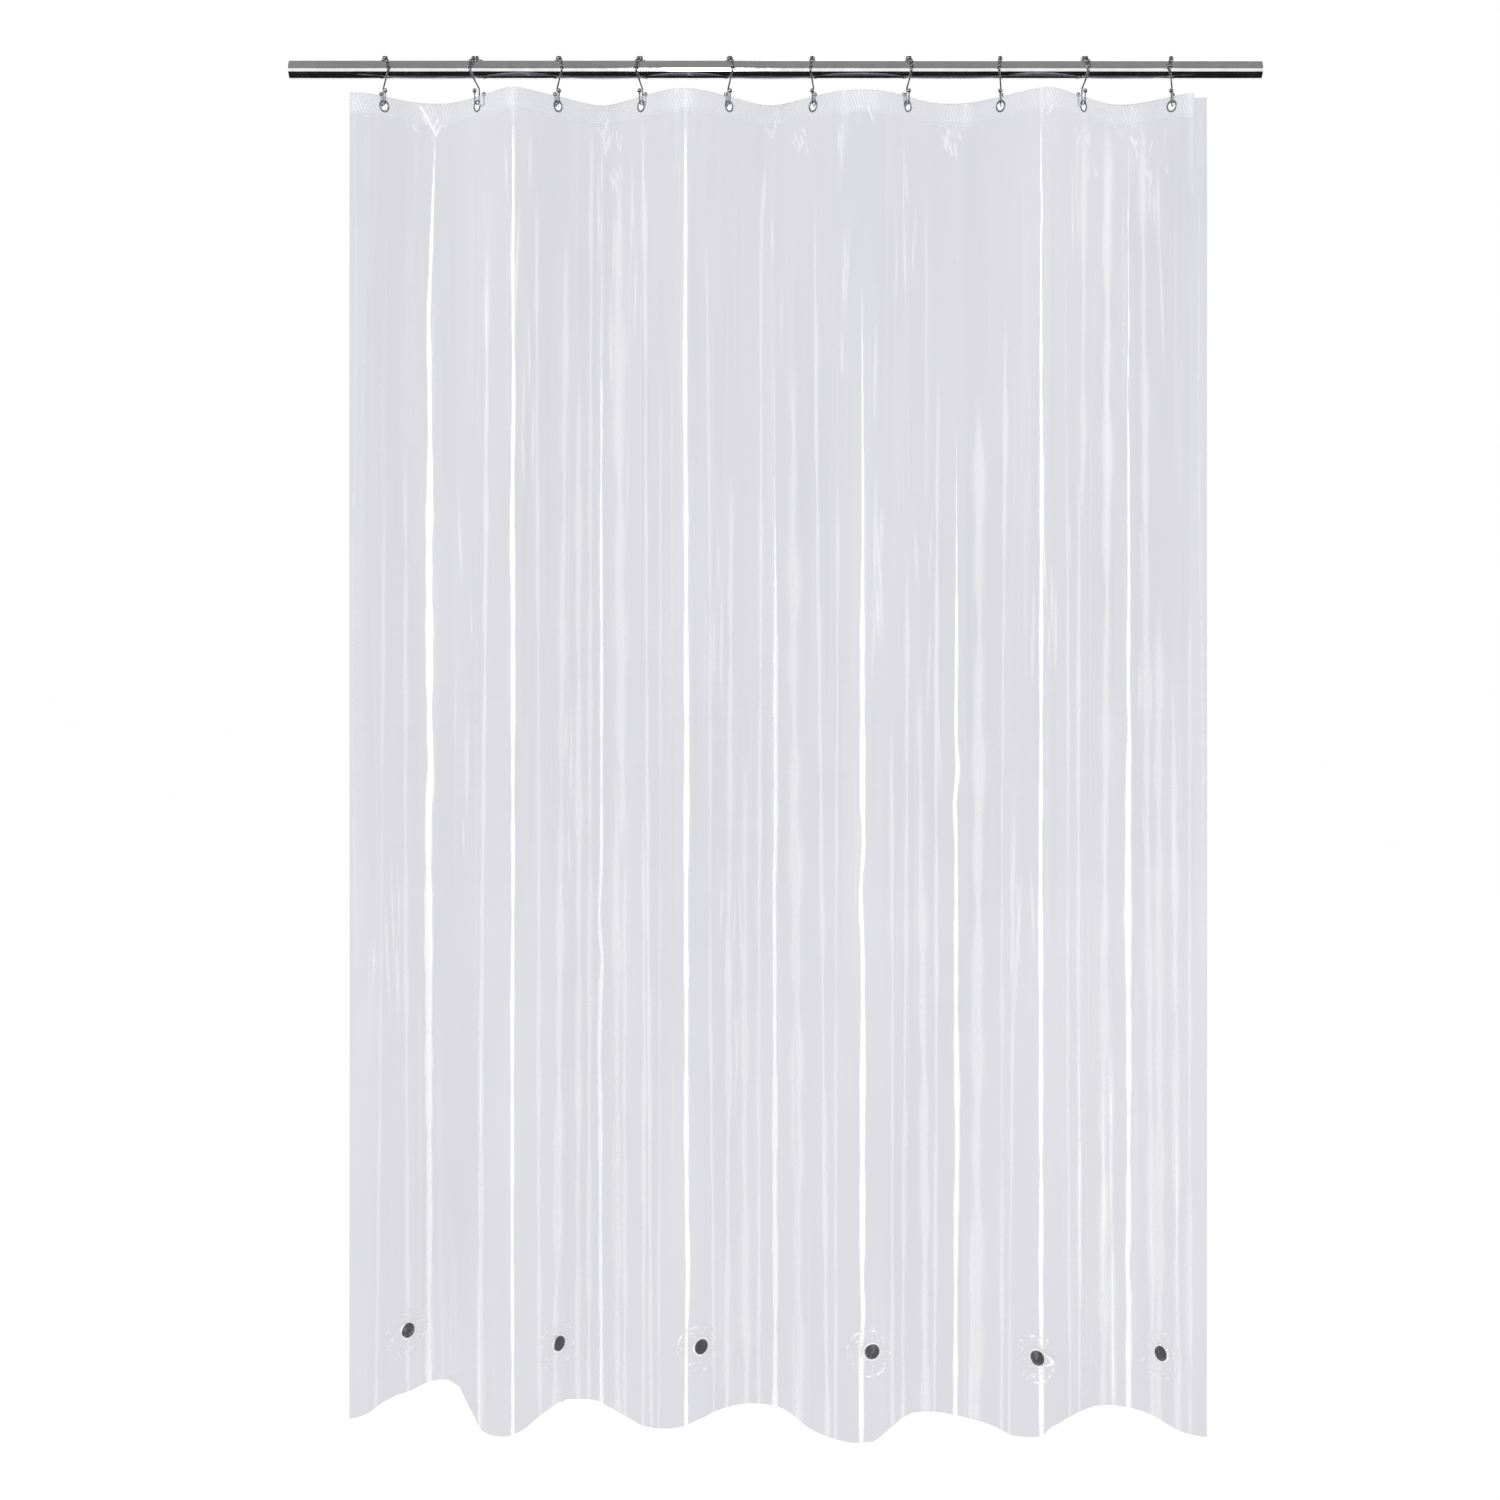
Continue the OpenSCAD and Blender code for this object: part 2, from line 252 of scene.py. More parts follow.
# soft upright pleats: middle along the film, width, depth, start, length, and how they lean and wander
pleats = []
for k in range(EYELETS - 1):
    for side in (-1, 1):
        for _ in range(4):
            start = rng.uniform(0.02, 0.9)
            pleats.append((
                crest_s[k] + side * rng.uniform(10, 70) * MM,
                rng.uniform(3.2, 9) * MM,
                rng.choice([-1, 1]) * rng.uniform(0.35, 1.25) * MM,
                start,
                rng.uniform(0.5, 1.9 - start),
                rng.uniform(-5, 5) * MM,
                rng.uniform(0.6, 2.2) * MM,
                rng.uniform(0, 2 * math.pi),
            ))
# bunches of short buckles: middle along the film, in mm, and below the top edge, in m
bunches = [
    (300, 0.22), (300, 0.50), (452, 0.20), (395, 0.95), (520, 0.30), (660, 0.75), (690, 1.20),
    (905, 0.24), (930, 0.62), (1010, 0.30), (1040, 0.75), (1240, 0.70), (1300, 0.20), (1450, 0.16),
    (1440, 0.86), (1180, 1.15), (760, 0.12), (180, 0.85), (60, 1.2),
]
buckles = []
for s_mm, h in bunches:
    for _ in range(6):
        buckles.append((
            (s_mm + rng.normal(0, 13)) * MM, h + rng.normal(0, 0.09), rng.uniform(2.2, 4.5) * MM,
            rng.uniform(0.03, 0.10), rng.choice([-1, 1]) * rng.uniform(0.4, 1.1) * MM,
            rng.uniform(-0.06, 0.06),
        ))
# small crinkles below the header, drawn only as painted highlight strokes, in clusters: middle along the film
# and below the top edge, both in mm
clusters = [(1312, 56), (1330, 98), (1421, 46), (1436, 90), (1082, 44), (813, 58), (455, 52), (470, 95)]
for s_mm, h_mm in clusters:
    for _ in range(8):
        s0, h0 = s_mm + rng.normal(0, 11), h_mm + rng.normal(0, 9)
        run = rng.uniform(5, 17)
        strokes.append((
            s0, h0, s0 + rng.normal(0, 0.35) * run, h0 + run,
            rng.uniform(0.8, 1.5), rng.uniform(0.40, 0.65),
        ))
magnet_s = np.array([eyelet_s[k - 1] + along for k, along in MAGNETS])
magnet_at = [centre_of(name("magnet", m)) for m in range(1, len(MAGNETS) + 1)]
magnet_h = [TOP - at.z for at in magnet_at]


LINE_END = 1.7            # a streak line that ends lower than this runs to the bottom edge


def streak_ridge_and_highlight(s, h):
    """The streak lines' painted highlight, also the height of their ridges: their strength on the line,
    nothing away from it.
    """
    out = np.zeros_like(s)
    for at, start, end, width, strength, drift in streak_lines:
        wander = 0.6 * np.sin(5 * h + at) + 0.16 * width * np.sin(31 * h + 2 * at)
        middle = (at + drift * ((h - start) / (end - start) - 0.5) + wander) * MM
        reach = width * (1 + 0.28 * np.sin(17 * h + at) + 0.22 * np.sin(47 * h + 3 * at)) * MM
        along = smooth(h, start - 0.03, start + 0.10)
        if end < LINE_END:
            along *= 1 - smooth(h, end - 0.10, end + 0.03)
        along *= 0.75 + 0.25 * np.sin(9 * h + 0.37 * at) * np.sin(3.3 * h + at) + 0.2 * smooth(h, 0.9, 1.5)
        out = np.maximum(out, strength * along * np.exp(-(((s - middle) / reach) ** 2)))
    return out


# how far each fold stands out further at the bottom than its plan, in mm: over a wide or a narrow reach
DEEPER = [17, -5, -2, -4, -3, -3, -4, -5, -3]
DEEPER_WIDE, DEEPER_NARROW = 24 * MM, 13 * MM
RIDGE = 1.0 * MM          # how far the film stands out along a fold line
RIDGE_NARROWEST = 0.8 * MM  # half its width, at the least
# how far the bottom edge rides up, in mm, every EDGE_STEP along the film
EDGE_STEP = 24 * MM
EDGE_UP = [
    21, 25, 33, 35, 34, 35, 40, 41, 17, -4, -2, 5, 11, 16, 25, 32, 31, 23, 14, 4,
    2, 1, 1, 6, 13, 19, 28, 30, 27, 24, 19, 11, 4, 1, -1, -6, -6, -6, -6, -4,
    8, 15, 15, 8, 2, -2, -6, -6, -6, -6, 0, 7, 21, 25, 25, 21, 17, 11, 7, 4,
    4, 0, -3, -4, -4,
]
RIDE_ZONE = 75            # height of the part that slides up below a magnet, in mm
RIDE_ZONE_MORE = 110      # and how much taller it is away from the magnets


def ride_up(s, h):
    """How far the film's lower part has slid up."""
    up = np.interp(s, np.arange(len(EDGE_UP)) * EDGE_STEP, EDGE_UP) * MM
    clear_of = smooth(np.min([np.abs(s - at) for at in magnet_s], axis=0), 37 * MM, 60 * MM)
    return up * smooth(h, DROP - (RIDE_ZONE + RIDE_ZONE_MORE * clear_of) * MM, DROP)


def swell(s, h):
    """How far the film stands forward of its plan."""
    out = 2.2 * MM * np.sin(61 * s + 2.3 * h) * np.sin(3.1 * h + 7 * s)
    for at, width, depth, start, length, lean, wander, phase in pleats:
        middle = at + lean * (h - start) + wander * np.sin(6.5 * h + phase)
        along = smooth(h, start - 0.12, start + 0.1) * (1 - smooth(h, start + length - 0.2, start + length))
        out += depth * along * np.exp(-(((s - middle) / width) ** 2))
    for at, down, width, reach, depth, lean in buckles:
        middle = at + lean * (h - down)
        out += depth * np.exp(-(((s - middle) / width) ** 2) - ((h - down) / reach) ** 2)
    out += 1.3 * MM * streak_ridge_and_highlight(s, h)
    hanging = smooth(h, HEADER, HEADER + 0.16)
    still = np.ones_like(s)
    for at in np.concatenate([seam_s, eyelet_s]):
        still *= smooth(np.abs(s - at), 0.5 * MM, 5 * MM)
    for at, down in zip(magnet_s, magnet_h):
        still *= smooth(np.hypot(s - at, h - down), 14 * MM, 40 * MM)
    out *= hanging * still
    for k, at in enumerate(crest_s):
        outwards = 1 if front_crest[k] else -1
        off = s - at - crest_line(k, h)
        low_down = smooth(h, 0.7, DROP)
        spread = DEEPER_WIDE if DEEPER[k] > 0 else DEEPER_NARROW
        out += outwards * DEEPER[k] * MM * low_down * np.exp(-(((s - at) / spread) ** 2))
        near = np.ones_like(s)
        for magnet, down in zip(magnet_s, magnet_h):
            near *= smooth(np.hypot(s - magnet, h - down), 10 * MM, 22 * MM)
        away = 1 + (off / np.maximum(crest_width(k, h), RIDGE_NARROWEST)) ** 2
        out += outwards * RIDGE * smooth(h, HEADER, HEADER + 50 * MM) * near / away
        if not front_crest[k]:
            out += 1.6 * MM * np.exp(-((s - at) / (5 * MM)) ** 2 - ((h - HEADER - 7 * MM) / (8 * MM)) ** 2)
    return out


def painted_highlights(s, h):
    """Painted highlights on the film: 1 on a fold line, 0 away from it; the streak lines, buckles and short
    creases get them too.
    """
    out = np.zeros_like(s)
    # a painted highlight down each fold line, and a painted V highlight below the header at each back fold
    for k, at in enumerate(crest_s):
        wide = crest_width(k, h)
        off = np.abs(s - at - crest_line(k, h)) / wide
        line = (1 - smooth(off, 0.75, 1.25)) * smooth(wide, 0.3 * MM, 0.9 * MM)
        begin = 0.25 * smooth(h, 0, 4 * MM) if front_crest[k] else 0
        out = np.maximum(out, line * np.maximum(begin, smooth(h, HEADER + 2 * MM, HEADER + 60 * MM)))
        if not front_crest[k]:
            arm = np.abs(np.abs(s - at) - 0.55 * (HEADER + 14 * MM - h)) / (1.3 * MM)
            vee = (1 - smooth(arm, 0.5, 1.3)) * smooth(h, HEADER - 1 * MM, HEADER + 1 * MM)
            out = np.maximum(out, vee * (h < HEADER + 15 * MM) * (1.0 if k == 0 else 0.3))
    # a painted glint along each buckle's ridge
    for at, down, width, reach, depth, lean in buckles:
        middle = at + lean * (h - down)
        glint = np.exp(-(((s - middle) / (0.4 * width)) ** 2) - ((h - down) / (0.7 * reach)) ** 2)
        out = np.maximum(out, 0.60 * glint * smooth(h, HEADER, HEADER + 40 * MM))
    # painted highlights along the short creases and crinkles
    for s0, h0, s1, h1, width, strength in strokes:
        run = np.array([s1 - s0, h1 - h0]) * MM
        t = np.clip(((s - s0 * MM) * run[0] + (h - h0 * MM) * run[1]) / (run @ run), 0, 1)
        away = np.hypot(s - s0 * MM - t * run[0], h - h0 * MM - t * run[1]) / (width * MM)
        out = np.maximum(out, strength * (1 - smooth(away, 0.6, 1.4)))
    # and the streak lines' painted highlights
    return np.maximum(out, np.minimum(2.05 * streak_ridge_and_highlight(s, h), 1))


def film_point(s, h, off=0.0):
    """The point in space of a place on the flat film, off in front of it."""
    x, y, nx, ny = plan(s)
    d = swell(s, h) + off
    return np.stack([x + nx * d, y + ny * d, TOP - h + ride_up(s, h)], axis=-1)


# ---------------------------------------------------------------- meshes

def make_mesh(label, points, faces, flat, mark):
    """A smooth mesh with its flat place on the film and its painted highlights as attributes."""
    mesh = bpy.data.meshes.new(label)
    mesh.from_pydata(points.tolist(), [], faces)
    mesh.polygons.foreach_set("use_smooth", [True] * len(mesh.polygons))
    place = mesh.attributes.new("flat_place", "FLOAT_VECTOR", "POINT")
    place.data.foreach_set("vector", np.ascontiguousarray(flat, np.float32).ravel())
    white = mesh.attributes.new("painted_highlights", "FLOAT", "POINT")
    white.data.foreach_set("value", np.ascontiguousarray(mark, np.float32))
    mesh.update()
    piece = bpy.data.objects.new(label, mesh)
    bpy.context.scene.collection.objects.link(piece)
    return piece


def make_sheet(label, points, faces, flat, mark):
    """A mesh from grids of points, less the points that no face uses."""
    used, back = np.unique(faces.ravel(), return_inverse=True)
    return make_mesh(label, points.reshape(-1, 3)[used], back.reshape(faces.shape).tolist(),
                     flat.reshape(-1, 3)[used], mark.ravel()[used])


def columns(low, high, coarse, fine, places, reach):
    """Distances along the film from low to high, closer together near places."""
    at = [low]
    while at[-1] < high - 1e-9:
        near = np.min(np.abs(np.asarray(places) - at[-1])) < reach
        at.append(min(at[-1] + (fine if near else coarse), high))
    if at[-1] - at[-2] < fine * 0.4:
        del at[-2]
    return np.array(at)


def grid_faces(rows, cols, keep):
    """Quads of a grid of points, without those that keep leaves out."""
    r, c = np.nonzero(keep)
    first = r * cols + c
    return np.stack([first, first + cols, first + cols + 1, first + 1], axis=-1)


def middles(v):
    """The middle value of each cell of a grid."""
    return (v[1:, 1:] + v[:-1, :-1]) / 2


def with_holes(s, h, holes):
    """Moves the points next to each round hole onto it, and says which cells of the grid stay."""
    s, h = s.copy(), h.copy()
    mid_s, mid_h = middles(s), middles(h)
    keep = np.ones(mid_s.shape, bool)
    for at in holes:
        inside = np.hypot(mid_s - at, mid_h - EYELET_H) < HOLE_R
        if not inside.any():
            continue
        keep &= ~inside
        touched = np.zeros(s.shape, bool)
        other = np.zeros(s.shape, bool)
        for dr in (0, 1):
            for dc in (0, 1):
                touched[dr:dr + inside.shape[0], dc:dc + inside.shape[1]] |= inside
                other[dr:dr + inside.shape[0], dc:dc + inside.shape[1]] |= ~inside
        rim = touched & other
        away = np.hypot(s - at, h - EYELET_H)
        s[rim] = at + (s[rim] - at) * HOLE_R / away[rim]
        h[rim] = EYELET_H + (h[rim] - EYELET_H) * HOLE_R / away[rim]
    return s, h, keep


END_STEP = 17 * MM   # the header stops this far short of the film's right edge
END_DROP = 8 * MM    # and the film beyond it is cut this much lower


# rows of the film's mesh, in mm below the top edge: from, to, apart
ROWS = [(0.6, 33, 1.4), (33, 75, 3.5), (75, 1660, 9), (1660, 1824, 5)]


def film_body(k, low, high):
    """The hanging sheet between two seams, from the folded top edge to the bottom edge."""
    fold_lines = [at + off * MM for at, off in zip(crest_s, CREASE_OFF)]
    s_line = columns(low, high, 2.2 * MM, 1.1 * MM, fold_lines + list(eyelet_s), 9 * MM)
    h_line = np.concatenate([*(np.arange(*row) for row in ROWS), [DROP / MM]]) * MM
    s, h = np.meshgrid(s_line, h_line)
    s, h, keep = with_holes(s, h, eyelet_s)
    behind = -0.27 * MM * (1 - smooth(h, HEADER, HEADER + 3 * MM))
    keep &= (middles(s) < WIDTH - END_STEP) | (middles(h) > END_DROP)
    points = film_point(s, h, behind)
    flat = np.stack([s, h, np.zeros_like(s)], axis=-1)
    return make_sheet(name("film", k), points, grid_faces(*s.shape, keep), flat, painted_highlights(s, h))


RIB = 4.5 * MM            # between the header's slanting ribs
RIB_HEIGHT = 0.34 * MM
BEHIND_ROWS = 5           # of the header's profile that lie on its edge and behind it


def header_profile():
    """Rows of the header, as distances down and off the film: up its front, over the edge, down behind."""
    front = [(30.5, 0.10), (30.2, 0.34), (29.6, 0.62), (28.8, 0.72), (28.0, 0.62), (27.3, 0.36)]
    front += [(d, 0.33) for d in np.arange(26.2, 0.9, -1.15)]
    return np.array(front + [(0.5, 0.30), (0.12, 0.15), (0, -0.05), (0.25, -0.24), (1.3, -0.31)]) * MM


def film_header(k, low, high):
    """The folded and welded band along the top edge, embossed with slanting ribs."""
    s_line = columns(low, min(high, WIDTH - END_STEP), 0.95 * MM, 0.95 * MM, [0], 0)
    profile = header_profile()
    s, h = np.meshgrid(s_line, profile[:, 0])
    _, off = np.meshgrid(s_line, profile[:, 1])
    front = np.arange(len(profile))[:, None] < len(profile) - BEHIND_ROWS
    s, h, keep = with_holes(s, h, eyelet_s)
    turn = 2 * math.pi * (s - 0.33 * h) / RIB
    rib = (0.5 + 0.5 * np.cos(turn)) ** 1.6 * (0.75 + 0.25 * np.sin(s * 173) * np.sin(s * 57 + 1))
    rib *= smooth(h, 1.2 * MM, 3 * MM) * (1 - smooth(h, 25 * MM, 27.2 * MM)) * front
    for at in eyelet_s:
        rib *= smooth(np.hypot(s - at, h - EYELET_H), 8.6 * MM, 11 * MM)
    points = film_point(s, h, off + RIB_HEIGHT * rib)
    flat = np.stack([s, h, np.ones_like(s)], axis=-1)
    # the ribs carry a painted highlight, stronger near the left end and the folds, where they catch the light
    bright = [30 * MM, *crest_s]   # places where the ribs catch the light
    lit = 1 - smooth(np.min([np.abs(s - at) for at in bright], axis=0), 14 * MM, 40 * MM)
    mark = np.maximum(painted_highlights(s, h), rib * (0.40 + 0.34 * lit))
    return make_sheet(name("header", k), points, grid_faces(*s.shape, keep)[:, ::-1], flat, mark)


PATCH_FLAT = 30           # radius of a patch inside its weld, in mm
PATCH_RIM = [30.9, 31.7, 32.4, 33.0, 33.5]  # radii over the weld and out to the edge
WELD = 31.7 * MM          # radius of the raised weld's middle
MAGNET_HALF = 1.25 * MM   # half a magnet's thickness
# irregular rings of painted highlight flecks: waves round the ring, radius and sway in mm, strength
HIGHLIGHT_FLECK_RINGS = [(7, 24, 2.0, 0.95), (11, 19, 1.5, 0.85), (13, 27.5, 1.2, 0.85)]


def magnet_patch(m):
    """The round film welded over a magnet: a flat rim with a raised weld, and a dome over the magnet."""
    s_m, c = magnet_s[m], np.array(magnet_at[m])
    _, _, nx, ny = plan(np.array(s_m))
    axis = np.array([float(nx), float(ny), 0])
    middle_s, middle_h = s_m - 3 * MM, magnet_h[m] + 3.5 * MM
    radii = np.concatenate([np.linspace(0, 1, 31)[1:] * PATCH_FLAT, PATCH_RIM]) * MM
    turns = np.linspace(0, 2 * math.pi, 96, endpoint=False)
    r, a = np.meshgrid(radii, turns, indexing="ij")
    r, a = np.concatenate([[0], r.ravel()]), np.concatenate([[0], a.ravel()])
    s, h = middle_s + r * np.cos(a), middle_h + r * np.sin(a)
    weld = np.exp(-((r - WELD) / (0.8 * MM)) ** 2)
    slack = 1 - smooth(r, 22 * MM, 30 * MM)
    pucker = 0.35 * MM * np.sin(9 * a + 0.8 * np.sin(3 * a) + m) * slack * smooth(r, 6 * MM, 15 * MM)
    off = 0.3 * MM + 0.45 * MM * weld + 0.45 * MM * slack + pucker
    base = film_point(s, h)
    _, _, nx, ny = plan(s)
    normal = np.stack([nx, ny, np.zeros_like(nx)], axis=-1)
    away = base - c
    out = away @ axis
    reach = np.linalg.norm(away - out[:, None] * axis, axis=1)
    lift = (MAGNET_HALF + 0.35 * MM - out) / (normal @ axis) * (1 - smooth(reach, 11.2 * MM, 16 * MM))
    off = np.maximum(off, lift)
    points = base + normal * off[:, None]
    ring = len(turns)
    faces = []
    for i in range(len(radii) - 1):
        for j in range(ring):
            n = (j + 1) % ring
            faces.append((1 + i * ring + j, 1 + (i + 1) * ring + j, 1 + (i + 1) * ring + n, 1 + i * ring + n))
    fan = [(0, 1 + j, 1 + (j + 1) % ring) for j in range(ring)]
    # painted highlight arcs along the weld and rings of painted highlight flecks
    arcs = smooth(np.sin(5 * a + m) * np.sin(3 * a + 1.7 * m) + 0.4 * np.sin(17 * a), 0.0, 0.7)
    rim = np.exp(-((r - 31.0 * MM) / (1.9 * MM)) ** 2) * (0.52 + 0.45 * arcs)
    for waves, at, sway, strength in HIGHLIGHT_FLECK_RINGS:
        ring_at = (at + sway * np.sin(2 * a + m + at)) * MM
        highlight_fleck = np.sin(waves * a + 2 * m) + np.sin((waves + 4) * a + 5 * m) + 0.9 * np.sin(3 * a + m + at)
        highlight_fleck = smooth(highlight_fleck, 0.5, 1.5)
        rim = np.maximum(rim, strength * highlight_fleck * np.exp(-((r - ring_at) / (1.6 * MM)) ** 2))
    haze = 0.42 * (1 - smooth(r, 26 * MM, 32 * MM)) * (0.7 + 0.3 * np.sin(3 * a + m + r * 190))
    rim = np.maximum(rim, haze)
    # a painted highlight ring round the magnet's edge
    edge = 0.6 * np.exp(-((reach - 11.8 * MM) / (1.1 * MM)) ** 2)
    flat = np.stack([s, h, np.full_like(s, 2.0)], axis=-1)
    return make_mesh(name("magnet_patch", m + 1), points, faces + fan, flat, np.clip(rim + edge, 0, 1))


# ---------------------------------------------------------------- materials

class Paint:
    """A material under construction: a Principled shader and short ways to feed it."""

    def __init__(self, label):
        self.material = bpy.data.materials.new(label)
        self.material.use_nodes = True
        self.tree = self.material.node_tree
        self.shader = self.tree.nodes["Principled BSDF"]

    def node(self, kind, **settings):
        n = self.tree.nodes.new(kind)
        for key, value in settings.items():
            setattr(n, key, value)
        return n

    def link(self, a, b):
        self.tree.links.new(a, b)

    def set(self, **values):
        for key, value in values.items():
            self.shader.inputs[key.replace("_", " ")].default_value = value

    def object_place(self):
        return self.node("ShaderNodeTexCoord").outputs["Object"]

    def flat_place(self):
        return self.node("ShaderNodeAttribute", attribute_name="flat_place").outputs["Vector"]

    def noise(self, place, scale, detail=3.0, rough=0.5):
        m = self.node("ShaderNodeMapping")
        m.inputs["Scale"].default_value = scale
        n = self.node("ShaderNodeTexNoise")
        n.inputs["Scale"].default_value = 1.0
        n.inputs["Detail"].default_value = detail
        n.inputs["Roughness"].default_value = rough
        self.link(place, m.inputs["Vector"])
        self.link(m.outputs["Vector"], n.inputs["Vector"])
        return n.outputs["Fac"]

    def span(self, value, low, high, to_low=0.0, to_high=1.0):
        n = self.node("ShaderNodeMapRange", interpolation_type="SMOOTHSTEP")
        self.link(value, n.inputs["Value"])
        for key, v in (("From Min", low), ("From Max", high), ("To Min", to_low), ("To Max", to_high)):
            n.inputs[key].default_value = v
        return n.outputs["Result"]

    def math(self, kind, a, b):
        n = self.node("ShaderNodeMath", operation=kind)
        for socket, v in zip(n.inputs, (a, b)):
            if isinstance(v, (int, float)):
                socket.default_value = v
            else:
                self.link(v, socket)
        return n.outputs[0]

    def mix(self, factor, a, b):
        n = self.node("ShaderNodeMix", data_type="RGBA")
        self.link(factor, n.inputs["Factor"])
        for socket, v in ((n.inputs["A"], a), (n.inputs["B"], b)):
            if isinstance(v, tuple):
                socket.default_value = (*v, 1)
            else:
                self.link(v, socket)
        return n.outputs["Result"]

    def bump(self, height, distance, strength=1.0, before=None):
        n = self.node("ShaderNodeBump")
        n.inputs["Distance"].default_value = distance
        n.inputs["Strength"].default_value = strength
        self.link(height, n.inputs["Height"])
        if before is not None:
            self.link(before, n.inputs["Normal"])
        return n.outputs["Normal"]

    def feed(self, socket, value):
        self.link(value, self.shader.inputs[socket])


def film_paint(label, alpha, colour, streaks):
    """Clear film: painted highlights along its creases and upright streaks whiten it, and two waves of bump
    stand for its skin.
    """
    p = Paint(label)
    place = p.flat_place()
    line = p.node("ShaderNodeAttribute", attribute_name="painted_highlights").outputs["Fac"]
    # upright noise streaks, painted as highlights
    thin = p.span(p.noise(place, (330, 1.3, 1), 2.0, 0.6), 0.635, 0.70)
    wide = p.span(p.noise(place, (95, 0.9, 1), 2.0, 0.5), 0.60, 0.72)
    where = p.span(p.noise(place, (14, 2.2, 1), 2.0, 0.5), 0.42, 0.60, 0.25, 1.0)
    thin = p.math("MULTIPLY", p.math("MULTIPLY", thin, where), 0.30 * streaks)
    wide = p.math("MULTIPLY", p.math("MULTIPLY", wide, where), 0.14 * streaks)
    white = p.math("MAXIMUM", line, p.math("MAXIMUM", thin, wide))
    haze = p.span(p.noise(place, (7, 1.1, 1), 3.0, 0.5), 0.3, 0.7, 0.0, 0.10)
    white = p.math("MINIMUM", p.math("ADD", white, haze), 1.0)
    p.feed("Base Color", p.mix(white, colour, (0.97, 0.97, 0.98)))
    p.feed("Alpha", p.span(white, 0.35, 1, alpha, 0.93))
    p.feed("Roughness", p.span(p.noise(place, (40, 9, 1), 3.0), 0.3, 0.7, 0.07, 0.16))
    skin = p.bump(p.noise(place, (60, 12, 1), 3.0, 0.55), 0.35 * MM)
    die = p.bump(p.noise(place, (420, 2, 1), 2.0, 0.6), 0.12 * MM, before=skin)
    p.feed("Normal", die)
    p.set(IOR=1.53)
    return p.material


def metal_paint(label, light, dark, rough, grain, grain_height):
    """Bright metal with a cloudy surface, fine lines along grain's long direction, and darker spots."""
    p = Paint(label)
    place = p.object_place()
    cloud = p.noise(place, (60, 60, 60), 4.0, 0.6)
    lines = p.noise(place, grain, 3.0, 0.6)
    both = p.math("ADD", p.math("MULTIPLY", cloud, 0.5), p.math("MULTIPLY", lines, 0.5))
    p.feed("Base Color", p.mix(p.span(both, 0.35, 0.65), dark, light))
    p.feed("Roughness", p.span(cloud, 0.3, 0.7, *rough))
    p.feed("Normal", p.bump(lines, grain_height))
    p.set(Metallic=1.0)
    return p.material


def magnet_paint():
    p = Paint("magnet_dull_grey")
    place = p.object_place()
    speck = p.noise(place, (900, 900, 900), 3.0, 0.7)
    cloud = p.noise(place, (120, 120, 120), 3.0, 0.5)
    both = p.math("ADD", p.math("MULTIPLY", speck, 0.6), p.math("MULTIPLY", cloud, 0.4))
    p.feed("Base Color", p.mix(p.span(both, 0.35, 0.65), (0.018, 0.018, 0.019), (0.075, 0.075, 0.078)))
    p.feed("Roughness", p.span(cloud, 0.3, 0.7, 0.42, 0.6))
    p.feed("Normal", p.bump(speck, 0.12 * MM))
    p.set(Metallic=0.35)
    return p.material


clear = film_paint("clear_film_body", 0.40, (0.215, 0.215, 0.325), 1.0)
band = film_paint("clear_film_header", 0.32, (0.74, 0.74, 0.81), 0.4)
dome = film_paint("clear_film_patch", 0.07, (0.62, 0.62, 0.66), 0.3)
steel = metal_paint(
    "polished_rod_steel", light=(0.90, 0.89, 0.88), dark=(0.78, 0.77, 0.76),
    rough=(0.05, 0.11), grain=(14, 900, 900), grain_height=0.02 * MM,
)
chrome = metal_paint(
    "hook_chrome", light=(0.50, 0.51, 0.53), dark=(0.22, 0.23, 0.24),
    rough=(0.06, 0.16), grain=(350, 350, 350), grain_height=0.03 * MM,
)
bead = metal_paint(
    "bead_chrome", light=(0.36, 0.37, 0.38), dark=(0.14, 0.15, 0.16),
    rough=(0.08, 0.20), grain=(500, 500, 500), grain_height=0.03 * MM,
)
rolled = metal_paint(
    "rolled_eyelet_metal", light=(0.40, 0.41, 0.43), dark=(0.17, 0.18, 0.19),
    rough=(0.10, 0.24), grain=(700, 700, 200), grain_height=0.05 * MM,
)
magnet_grey = magnet_paint()


def paint(node, material):
    for slot in nodes[node].material_slots:
        slot.material = material


paint("curtain_rod", steel)
for k in range(1, EYELETS + 1):
    paint(name("hook_wire", k), chrome)
    paint(name("top_roller", k), bead)
    paint(name("side_rollers", k), bead)
    paint(name("eyelet", k), rolled)
for m in range(1, len(MAGNETS) + 1):
    paint(name("magnet", m), magnet_grey)

# ---------------------------------------------------------------- the film, piece by piece

# how far left and right of each fold line the film bends as the fold moves, in mm: a magnet beside the line
# keeps its own side stiff
bend_reach = [[14, 14] for _ in crest_s]
bend_reach[0] = [12, 18]
bend_reach[3] = [16, 10]
bend_reach[5] = [22, 1.5]
bend_reach[7] = [2.5, 22]


def bend(piece):
    """Bakes a piece's placement into its mesh."""
    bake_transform(piece)


NEAR_FOLD = 50 * MM       # a patch nearer to a fold line than this is not attached to its panel
edges = [0.0, *seam_s, WIDTH]
patches = {}
for m, (k, _) in enumerate(MAGNETS):
    patch = magnet_patch(m)
    patch.data.materials.append(dome)
    gap = np.abs(crest_s - magnet_s[m])
    fold = int(np.argmin(gap))
    if gap[fold] < NEAR_FOLD:
        bend(patch)
    else:
        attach(patch, name("panel", k))
    patches.setdefault(int(np.searchsorted(seam_s, magnet_s[m])), []).append(patch)

